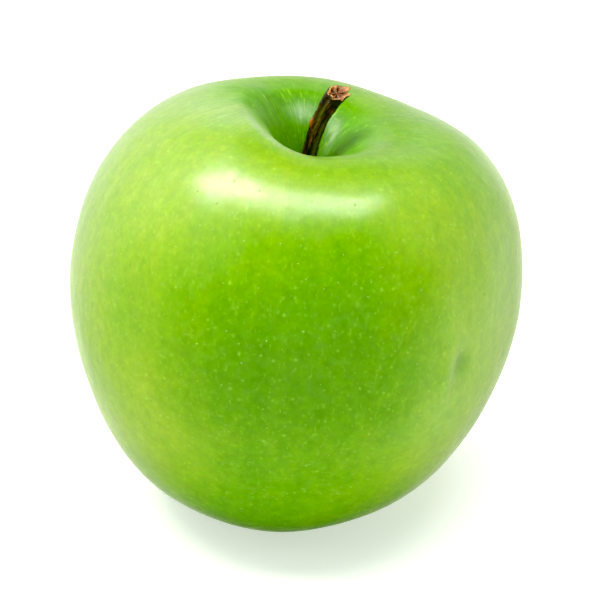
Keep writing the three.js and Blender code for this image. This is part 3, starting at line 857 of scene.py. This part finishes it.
cork = skin_material("skin_over_lenticels", subsurface=0.0)
lenticels = grow("lenticels", "lenticels", fruit_mesh, Finish=cork)
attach(lenticels, "root")
print("lenticels:", len(lenticels.data.polygons) // (DOME_SIDES + 2))

# %% [markdown]
# The stem is a woody shoot, two and a half millimetres thick, that bent towards the light. Its
# bark is drawn into ridges that run its length, with fine cross wrinkles and a raised scar where
# a bud once sat. It widens at its end, where it was torn from the spur: an oblique break with a
# torn rim round a hollow of paler pith. A curve with a bevel could give a smooth rod. Here the
# same two things as for the fruit are used, a net and a tree that holds the rule, because every
# ridge, wrinkle and tear is then a size in the tree.

# %% The sizes of the stem, in millimetres and degrees
STEM_CURVE = [(1.5, 0.0, 51.9), (1.7, 0.0, 60.0), (2.75, 0.5, 68.5), (7.45, 1.0, 73.7)]
STEM_SIZES = {
    "Foot Radius": 1.35, "Waist Radius": 1.18, "End Radius": 1.62, "Ridge": 0.13,
    "Wrinkle": 0.05, "Scar": 0.55, "Torn Rim": 0.40, "Hollow": 0.30, "Split": 0.80}
BREAK = Vector((0.22, -0.40, 0.89)).normalized()  # the way the broken end faces
FLARE_FROM, SPLITS = 0.74, 6
SCAR_ALONG, SCAR_LONG = 0.70, 0.045  # shares of the stem's length, as the flare's is
SCAR_AT, SCAR_WIDE = 160.0, 27.0
STEM_SIDES, STEM_ROWS, END_ROWS = 96, 170, 26
stem_places = [row / STEM_ROWS for row in range(STEM_ROWS + 1)]
stem_places += [1 + row / END_ROWS for row in range(1, END_ROWS + 1)]
stem_net = net("stem_bark", [0.0, *stem_places], STEM_SIDES)
print("net of the stem:", len(stem_net.vertices), "points")

# %% The path of the stem, and the ring at each place
CURVE_END = 0.999  # the share at which a curve ends; places past it stay there


def heading(tree, last_two):
    """The way a curve runs, from the two points that were blended last."""
    ahead = add(tree, "ShaderNodeVectorMath", [last_two[1], last_two[0]], operation="SUBTRACT")
    return add(tree, "ShaderNodeVectorMath", [ahead], operation="NORMALIZE")


tree, given = new_tree("woody_stem", STEM_SIZES)
place, turn, spin = read_net(tree)
along = add(tree, "ShaderNodeMath", [place, CURVE_END], operation="MINIMUM")
inward = add(tree, "ShaderNodeMapRange", {
    "Value": place, "From Min": 1.0, "From Max": 2.0})  # over the broken end
path = [tuple(to_frame(point) * MM) for point in STEM_CURVE]
centre, last_two = bezier(tree, path, along)
ahead = heading(tree, last_two)
over = add(tree, "ShaderNodeVectorMath", [ahead, (1, 0, 0)], operation="CROSS_PRODUCT")
over = add(tree, "ShaderNodeVectorMath", [over], operation="NORMALIZE")
across = add(tree, "ShaderNodeVectorMath", [over, ahead], operation="CROSS_PRODUCT")
print("path of the stem, mm:", [tuple(np.round(np.array(point) / MM, 1)) for point in path])

# %% Its thickness, ridges and wrinkles
WAIST_FROM, RIBS = (0.2, 0.6), 7
GROOVES = [("Ridge", (2.0, 2.0, 8.0)), ("Wrinkle", (1.2, 1.2, 60.0))]  # features round and along
GROOVE_SWING = 5.0  # noise keeps near its middle, so it is spread out to the full size
to_waist = add(tree, "ShaderNodeMapRange", {
    "Value": along, "From Min": WAIST_FROM[0], "From Max": WAIST_FROM[1],
    "To Min": given["Foot Radius"], "To Max": given["Waist Radius"]},
    interpolation_type="SMOOTHSTEP")
flare = add(tree, "ShaderNodeMapRange", {
    "Value": along, "From Min": FLARE_FROM, "From Max": 1.0}, interpolation_type="SMOOTHSTEP")
radius = add(tree, "ShaderNodeMix", {
    "Factor": flare, "A": to_waist, "B": given["End Radius"]}, data_type="FLOAT")
around = add(tree, "ShaderNodeCombineXYZ", {"X": spin[0], "Y": spin[1], "Z": along})
for size, features in GROOVES:
    drawn = pattern(tree, around, features, 2.0)
    drawn = add(tree, "ShaderNodeMath", [drawn, 0.5], operation="SUBTRACT")
    drawn = add(tree, "ShaderNodeMath", [drawn, GROOVE_SWING], operation="MULTIPLY")
    radius = add(tree, "ShaderNodeMath", [drawn, given[size], radius], operation="MULTIPLY_ADD")
rib = add(tree, "ShaderNodeMath", [turn, RIBS], operation="MULTIPLY")
rib = add(tree, "ShaderNodeMath", [rib], operation="COSINE")
radius = add(tree, "ShaderNodeMath", [rib, given["Ridge"], radius], operation="MULTIPLY_ADD")
print("ribs round the stem:", RIBS)

# %% The bud scar
from_scar = add(tree, "ShaderNodeMath", [turn, -math.radians(SCAR_AT)], operation="ADD")
from_scar = add(tree, "ShaderNodeMath", [from_scar, math.pi, -math.pi], operation="WRAP")
round_it = add(tree, "ShaderNodeMath", [from_scar, math.radians(SCAR_WIDE)], operation="DIVIDE")
run = add(tree, "ShaderNodeMath", [along, SCAR_ALONG], operation="SUBTRACT")
run = add(tree, "ShaderNodeMath", [run, SCAR_LONG], operation="DIVIDE")
scar = bell(tree, add(tree, "ShaderNodeCombineXYZ", {"X": round_it, "Y": run}))
radius = add(tree, "ShaderNodeMath", [scar, given["Scar"], radius], operation="MULTIPLY_ADD")
print("bud scar at", SCAR_ALONG, "of the stem's length")

# %% The slope of the broken end
shrink = add(tree, "ShaderNodeMath", [1.0, inward], operation="SUBTRACT")
radius = add(tree, "ShaderNodeMath", [radius, shrink], operation="MULTIPLY")
radius = add(tree, "ShaderNodeMath", [radius, MM], operation="MULTIPLY")
sideways = [add(tree, "ShaderNodeVectorMath", {0: axis, "Scale": amount}, operation="SCALE")
            for axis, amount in zip((across, over), spin)]
spoke = add(tree, "ShaderNodeVectorMath", [sideways[0], sideways[1]], operation="SUBTRACT")
spoke = add(tree, "ShaderNodeVectorMath", {0: spoke, "Scale": radius}, operation="SCALE")
slope = add(tree, "ShaderNodeVectorMath", [spoke, BREAK], operation="DOT_PRODUCT")
facing = add(tree, "ShaderNodeVectorMath", [ahead, BREAK], operation="DOT_PRODUCT")
oblique = add(tree, "ShaderNodeMath", [slope, facing], operation="DIVIDE")
oblique = add(tree, "ShaderNodeMath", [oblique, flare], operation="MULTIPLY")
print("the broken end faces:", [round(part, 2) for part in BREAK])

# %% Its torn rim, splits and hollow
TORN_SCALE, TORN_SWING, STRAY_SCALE, STRAY = 2.4, 4.0, 1.3, 9.0  # noise: its scale and its swing
SPLIT_FROM, HOLLOW_FROM, TORN_FROM = (0.1, 0.8), (0.14, 0.5), (0.90, 1.0)
torn = add(tree, "ShaderNodeTexNoise", {"Vector": around, "Scale": TORN_SCALE, "Detail": 3.0})
torn = add(tree, "ShaderNodeMath", [torn.outputs[0], 0.5], operation="SUBTRACT")
torn = add(tree, "ShaderNodeMath", [torn, TORN_SWING], operation="MULTIPLY")
torn = add(tree, "ShaderNodeMath", [torn, given["Torn Rim"]], operation="MULTIPLY")
rays = add(tree, "ShaderNodeTexNoise", {"Vector": around, "Scale": STRAY_SCALE, "Detail": 1.0})
rays = add(tree, "ShaderNodeMath", [rays.outputs[0], STRAY], operation="MULTIPLY")
rays = add(tree, "ShaderNodeMath", [turn, SPLITS, rays], operation="MULTIPLY_ADD")
rays = add(tree, "ShaderNodeMath", [rays], operation="COSINE")
rays, dish, edge = (
    add(tree, "ShaderNodeMapRange", {
        "Value": value, "From Min": begins, "From Max": full, "To Max": most},
        interpolation_type="SMOOTHSTEP")
    for value, (begins, full), most in (
        (rays, SPLIT_FROM, given["Split"]), (inward, HOLLOW_FROM, 1.0), (along, TORN_FROM, 1.0)))
pits = add(tree, "ShaderNodeMath", [rays, given["Hollow"]], operation="ADD")
pits = add(tree, "ShaderNodeMath", [pits, dish], operation="MULTIPLY")
keep_rim = add(tree, "ShaderNodeMath", [1.0, dish], operation="SUBTRACT")
torn = add(tree, "ShaderNodeMath", [torn, keep_rim], operation="MULTIPLY")
torn = add(tree, "ShaderNodeMath", [torn, pits], operation="SUBTRACT")
torn = add(tree, "ShaderNodeMath", [torn, edge], operation="MULTIPLY")
print("splits in the end:", SPLITS)

# %% The whole stem
forward = add(tree, "ShaderNodeMath", [torn, MM], operation="MULTIPLY")
forward = add(tree, "ShaderNodeMath", [forward, oblique], operation="SUBTRACT")
forward = add(tree, "ShaderNodeVectorMath", {0: ahead, "Scale": forward}, operation="SCALE")
point = add(tree, "ShaderNodeVectorMath", [centre, spoke], operation="ADD")
point = add(tree, "ShaderNodeVectorMath", [point, forward], operation="ADD")
rod = add(tree, "GeometryNodeSetPosition", {"Geometry": given["Geometry"], "Position": point})
for name, value in (("scar", scar), ("end", inward), ("depth", torn)):
    rod = add(tree, "GeometryNodeStoreNamedAttribute", {
        "Geometry": rod, "Name": name, "Value": value}, data_type="FLOAT")
rod = add(tree, "GeometryNodeStoreNamedAttribute", {
    "Geometry": rod, "Name": "bark_map", "Value": around}, data_type="FLOAT_VECTOR")
rod = add(tree, "GeometryNodeSetShadeSmooth", {"Geometry": rod})
end_tree(tree, given, rod)
print("the whole rule of the stem:", len(tree.nodes), "nodes")

# %% [markdown]
# Bark on a stem this young is a thin dark skin over green wood. It is nearly black in the
# grooves, brown on the ridges, and olive where the light reached it, and it has a slight shine.
# Just under the break the bark is painted nearly black, as painted shade of the wide broken end
# above it. The scar of the bud is raw orange cork. The broken end is pale wood, and its colour
# follows its depth: pale yellow where the torn rim stands highest, pink brown lower down, and
# nearly black deep in the pits. Two materials could do this. One is enough, because each point
# keeps from the tree how near it is to the scar, how far over the broken end it is, and how deep
# in the splits.

# %% Bark and torn wood
BARK = [(0.34, "0B0502"), (0.48, "27130A"), (0.58, "54301A"), (0.72, "8A6434")]
WOOD = [(0.0, "1A0903"), (0.40, "4E2410"), (0.65, "9E6238"), (0.85, "CC9E5C"), (1.0, "DCC27E")]
RIDGE_FEATURES, OLIVE_FEATURES = (3.4, 3.4, 9.0), (1.2, 1.2, 2.6)  # round and along the stem
OLIVE, OLIVE_FROM, OLIVE_SHARE = "5C6420", (0.50, 0.62), 0.6
# Painted shade: the last part of the bark below the broken end is darkened, which stands for the
# shade of the wide end above it.
SHADE_UNDER_END, SHADE_UNDER_END_FROM, SHADE_UNDER_END_SHARE = "0E0603", (0.84, 0.97), 0.7
SCAR_ORANGE, SCAR_FROM, OPEN_FROM = "B5682C", (0.35, 0.75), (0.01, 0.05)
FIBRE_MM, FIBRE_SHARE = 0.35, 0.6
PITS, PITS_LEVEL = (-0.9, 0.1), (0.1, 0.8)  # how deep, in millimetres, and where on the ramp
BARK_ROUGH, BARK_HIGH = (0.38, 0.62), 0.12

bark, tree = new_material("young_bark_and_torn_wood")
bark_map = add(tree, "ShaderNodeAttribute", attribute_name="bark_map").outputs["Vector"]
scar, end, depth = (add(tree, "ShaderNodeAttribute", attribute_name=name).outputs["Fac"]
                    for name in ("scar", "end", "depth"))
ridges = pattern(tree, bark_map, RIDGE_FEATURES, 5.0, roughness=0.65)
color = add(tree, "ShaderNodeValToRGB", {"Fac": ridges})
set_stops(color, BARK)
patches = pattern(tree, bark_map, OLIVE_FEATURES, 2.0)
run = add(tree, "ShaderNodeSeparateXYZ", [bark_map]).outputs["Z"]
olive, shade_under_end, raw, open_end = (
    add(tree, "ShaderNodeMapRange", {
        "Value": value, "From Min": begins, "From Max": full, "To Max": most})
    for value, (begins, full), most in (
        (patches, OLIVE_FROM, OLIVE_SHARE), (run, SHADE_UNDER_END_FROM, SHADE_UNDER_END_SHARE),
        (scar, SCAR_FROM, 1.0), (end, OPEN_FROM, 1.0)))
color = tinted(tree, color, (olive, OLIVE), (shade_under_end, SHADE_UNDER_END), (raw, SCAR_ORANGE))
fibres = add(tree, "ShaderNodeTexNoise", {
    "Vector": add(tree, "ShaderNodeTexCoord").outputs["Object"], "Scale": 1 / (FIBRE_MM * MM),
    "Detail": 3.0}).outputs[0]
level = add(tree, "ShaderNodeMapRange", {
    "Value": depth, "From Min": PITS[0], "From Max": PITS[1],
    "To Min": PITS_LEVEL[0], "To Max": PITS_LEVEL[1]})
level = add(tree, "ShaderNodeMath", [fibres, FIBRE_SHARE, level], operation="MULTIPLY_ADD")
level = add(tree, "ShaderNodeMath", [level, FIBRE_SHARE / 2], operation="SUBTRACT")
wood = add(tree, "ShaderNodeValToRGB", {"Fac": level})
set_stops(wood, WOOD)
color = add(tree, "ShaderNodeMix", {"Factor": open_end, "A": color, "B": wood}, data_type="RGBA")
rough = add(tree, "ShaderNodeMapRange", {
    "Value": ridges, "From Min": NOISE_LOW, "From Max": NOISE_HIGH,
    "To Min": BARK_ROUGH[0], "To Max": BARK_ROUGH[1]})
height = add(tree, "ShaderNodeMath", [fibres, 0.5, ridges], operation="MULTIPLY_ADD")
bump = add(tree, "ShaderNodeBump", {
    "Strength": 0.9, "Distance": BARK_HIGH * MM, "Height": height})
timber = add(tree, "ShaderNodeBsdfPrincipled", {
    "Base Color": color, "Roughness": rough, "IOR": 1.5, "Normal": bump})
add(tree, "ShaderNodeOutputMaterial", {"Surface": timber})
print("bark material:", len(tree.nodes), "nodes")

# %% The stem
stem = grow("stem_bark", "woody_stem", stem_net, Finish=bark)
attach(stem, "root")
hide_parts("stem")

# %% [markdown]
# At the other end, in the basin, sits what is left of the flower: a short tube with five dry
# sepals that curl out of it, and a tuft of withered stamens inside. Each could be modelled by
# hand, but each kind is one shape repeated. So one Geometry Nodes tree bends a net into a sepal,
# sets five copies of it in a ring, each turned and crumpled its own way, and sets a ring of
# stamens inside them. Fine down is scattered over the sepals last.

# %% The sizes of the calyx, in millimetres and degrees
SEPAL_CURVE = [(1.4, 0, 5.9), (3.6, 0, 5.7), (2.0, 0, 3.3), (5.1, 0, 2.75)]
CALYX_SIZES = {  # the hairs are those on a square millimetre
    "Sepals": 5, "First Sepal": 30.0, "Blade Width": 3.2, "Tip Width": 0.5, "Thickness": 0.34,
    "Cup": 0.30, "Crumple": 0.50, "Stamens": 18, "Stamen Length": 2.9, "Hairs": 5.0, "Seed": 4}
TAPER, CRUMPLE_SCALE = 1.6, 0.9  # past 1 a sepal stays wide for longer; folds to a millimetre
SEPAL_TILT, STAMEN_TILT, HAIR_TILT = (0.05, 0.05, 0.10), (0.28, 0.28, 0.5), 0.7  # in radians
TUBE_RADIUS, TUBE_TOP, TUBE_END, TUBE_SIDES = 2.2, 10.0, 5.4, 40
STAMEN_ROOT, STAMEN_OUT, STAMEN_THICK, STAMEN_THIN = 6.4, 0.75, 0.10, 0.07
ANTHER = (0.17, 0.17, 0.30)
HAIR_LONG, HAIR_THICK, HAIR_TIP = 0.45, 0.022, 0.004
BASIN_FLOOR = FRUIT_SIZES["Basin Floor"]
BLADE_SIDES, BLADE_ROWS = 20, 36
blade_net = net("dry_calyx", [row / BLADE_ROWS for row in range(BLADE_ROWS + 1)], BLADE_SIDES)
print("net of a sepal:", len(blade_net.vertices), "points")

# %% One sepal
tree, given = new_tree("calyx", CALYX_SIZES)
place, turn, spin = read_net(tree)
along = add(tree, "ShaderNodeMath", [place, CURVE_END], operation="MINIMUM")
centre, last_two = bezier(tree, SEPAL_CURVE, along)
inner = add(tree, "ShaderNodeVectorMath", [
    heading(tree, last_two), (0, 1, 0)], operation="CROSS_PRODUCT")
taper = add(tree, "ShaderNodeMath", [place, TAPER], operation="POWER")
width = add(tree, "ShaderNodeMix", {
    "Factor": taper, "A": given["Blade Width"], "B": given["Tip Width"]}, data_type="FLOAT")
width = add(tree, "ShaderNodeMath", [width, 0.5], operation="MULTIPLY")
width = add(tree, "ShaderNodeMath", [width, spin[0]], operation="MULTIPLY")
thick = add(tree, "ShaderNodeMath", [given["Thickness"], -0.5], operation="MULTIPLY")
cup = add(tree, "ShaderNodeMath", [spin[0], spin[0]], operation="MULTIPLY")
cup = add(tree, "ShaderNodeMath", [cup, given["Cup"]], operation="MULTIPLY")
thick = add(tree, "ShaderNodeMath", [thick, spin[1], cup], operation="MULTIPLY_ADD")
side = add(tree, "ShaderNodeCombineXYZ", {"Y": width})
point = add(tree, "ShaderNodeVectorMath", {0: inner, "Scale": thick}, operation="SCALE")
point = add(tree, "ShaderNodeVectorMath", [point, side], operation="ADD")
point = add(tree, "ShaderNodeVectorMath", [point, centre], operation="ADD")
blade = add(tree, "GeometryNodeSetPosition", {"Geometry": given["Geometry"], "Position": point})
print("sepal, mm long:", round(math.dist(SEPAL_CURVE[0], SEPAL_CURVE[-1]), 1))

# %% A ring of copies
def ring_of(tree, shape, count, first, tilt, seed):
    """Copies of a shape round the z axis, each turned by a random tilt, in radians."""
    spots = add(tree, "GeometryNodePoints", {"Count": count})
    index = add(tree, "GeometryNodeInputIndex")
    step = add(tree, "ShaderNodeMath", [TURN, count], operation="DIVIDE")
    angle = add(tree, "ShaderNodeMath", [index, step, first], operation="MULTIPLY_ADD")
    turned = add(tree, "ShaderNodeCombineXYZ", {"Z": angle})
    chance = add(tree, "FunctionNodeRandomValue", {
        "Min": tuple(-t for t in tilt), "Max": tilt, "Seed": seed}, data_type="FLOAT_VECTOR")
    turned = add(tree, "ShaderNodeVectorMath", [turned, chance], operation="ADD")
    return add(tree, "GeometryNodeInstanceOnPoints", {
        "Points": spots, "Instance": shape, "Rotation": turned})


first = add(tree, "ShaderNodeMath", [given["First Sepal"]], operation="RADIANS")
sepals = ring_of(tree, blade, given["Sepals"], first, SEPAL_TILT, given["Seed"])
sepals = add(tree, "GeometryNodeRealizeInstances", {"Geometry": sepals})
crumple = add(tree, "ShaderNodeTexNoise", {
    "Vector": add(tree, "GeometryNodeInputPosition"), "Scale": CRUMPLE_SCALE, "Detail": 2.0})
crumple = add(tree, "ShaderNodeVectorMath", [
    crumple.outputs["Color"], (0.5, 0.5, 0.5)], operation="SUBTRACT")
crumple = add(tree, "ShaderNodeVectorMath", {
    0: crumple, "Scale": given["Crumple"]}, operation="SCALE")
sepals = add(tree, "GeometryNodeSetPosition", {"Geometry": sepals, "Offset": crumple})
print("sepals:", CALYX_SIZES["Sepals"])

# %% Stamens, tube and down
thread = add(tree, "GeometryNodeMeshCone", {
    "Vertices": 6, "Side Segments": 4, "Radius Top": STAMEN_THICK,
    "Radius Bottom": STAMEN_THIN, "Depth": given["Stamen Length"]}).outputs["Mesh"]
anther = add(tree, "GeometryNodeMeshIcoSphere", {"Radius": 1.0, "Subdivisions": 2})
anther = add(tree, "GeometryNodeTransform", {"Geometry": anther.outputs["Mesh"], "Scale": ANTHER})
stamen = add(tree, "GeometryNodeJoinGeometry")
for part in (anther.outputs[0], thread):
    tree.links.new(part, stamen.inputs[0])
drop = add(tree, "ShaderNodeMath", [given["Stamen Length"], -1.0], operation="MULTIPLY")
drop = add(tree, "ShaderNodeCombineXYZ", {"X": STAMEN_OUT, "Z": drop})
stamen = add(tree, "GeometryNodeTransform", {"Geometry": stamen, "Translation": drop})
stamens = ring_of(tree, stamen, given["Stamens"], 0.0, STAMEN_TILT, given["Seed"])
stamens = add(tree, "GeometryNodeTransform", {
    "Geometry": stamens, "Translation": (0, 0, STAMEN_ROOT)})
tube = add(tree, "GeometryNodeMeshCylinder", {
    "Vertices": TUBE_SIDES, "Radius": TUBE_RADIUS, "Depth": TUBE_TOP - TUBE_END})
tube = add(tree, "GeometryNodeTransform", {
    "Geometry": tube.outputs["Mesh"], "Translation": (0, 0, (TUBE_TOP + TUBE_END) / 2)})
downy = add(tree, "GeometryNodeDistributePointsOnFaces", {
    "Mesh": sepals, "Density": given["Hairs"], "Seed": given["Seed"]})
hair = add(tree, "GeometryNodeMeshCone", {
    "Vertices": 3, "Radius Top": HAIR_TIP, "Radius Bottom": HAIR_THICK, "Depth": HAIR_LONG})
lean_over = add(tree, "FunctionNodeRandomValue", {
    "Min": (-HAIR_TILT, -HAIR_TILT, 0.0), "Max": (HAIR_TILT, HAIR_TILT, TURN),
    "Seed": given["Seed"]}, data_type="FLOAT_VECTOR")
hair_way = add(tree, "FunctionNodeRotateRotation", {
    "Rotation": downy.outputs["Rotation"], "Rotate By": lean_over}, rotation_space="LOCAL")
hairs = add(tree, "GeometryNodeInstanceOnPoints", {
    "Points": downy, "Instance": hair.outputs["Mesh"], "Rotation": hair_way})
whole = add(tree, "GeometryNodeJoinGeometry")
for part in (hairs, tube, stamens, sepals):
    tree.links.new(part.outputs[0], whole.inputs[0])
foot = Vector(to_frame((lean_at(BASIN_FLOOR), 0, 0))) * MM
whole = add(tree, "GeometryNodeTransform", {
    "Geometry": whole, "Translation": foot, "Scale": (MM, MM, MM)})
whole = add(tree, "GeometryNodeSetShadeSmooth", {"Geometry": whole})
end_tree(tree, given, whole)
print("the whole rule of the calyx:", len(tree.nodes), "nodes")

# %% [markdown]
# The sepals are dry leaf: brown, with grey-green blotches where they dried last, finely veined,
# and matt, because the down on them scatters light. An image of one leaf would show five times
# over, so blotches and veins are two noises at their real sizes. A little sheen stands for the
# down that is too fine to make.

# %% Dry leaf
DRY_LEAF = [(0.30, "2E2212"), (0.50, "5F5231"), (0.72, "8C8558")]
BLOTCH_MM, VEIN_MM, VEIN_SHARE, VEIN_HIGH = 1.3, 0.25, 0.4, 0.1
leaf, tree = new_material("dry_sepal")
here = add(tree, "ShaderNodeTexCoord").outputs["Object"]
blotches, veins = (
    add(tree, "ShaderNodeTexNoise", {
        "Vector": here, "Scale": 1 / (size * MM), "Detail": detail}).outputs[0]
    for size, detail in ((BLOTCH_MM, 4.0), (VEIN_MM, 3.0)))
mixed = add(tree, "ShaderNodeMath", [veins, VEIN_SHARE, blotches], operation="MULTIPLY_ADD")
mixed = add(tree, "ShaderNodeMath", [mixed, VEIN_SHARE / 2], operation="SUBTRACT")
color = add(tree, "ShaderNodeValToRGB", {"Fac": mixed})
set_stops(color, DRY_LEAF)
bump = add(tree, "ShaderNodeBump", {"Strength": 0.8, "Distance": VEIN_HIGH * MM, "Height": veins})
dry = add(tree, "ShaderNodeBsdfPrincipled", {
    "Base Color": color, "Roughness": 0.85, "IOR": 1.45, "Normal": bump,
    "Sheen Weight": 0.25, "Sheen Roughness": 0.5})
add(tree, "ShaderNodeOutputMaterial", {"Surface": dry})
print("leaf material:", len(tree.nodes), "nodes")

# %% The calyx
calyx = grow("dry_calyx", "calyx", blade_net, Finish=leaf)
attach(calyx, "root")
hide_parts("calyx")
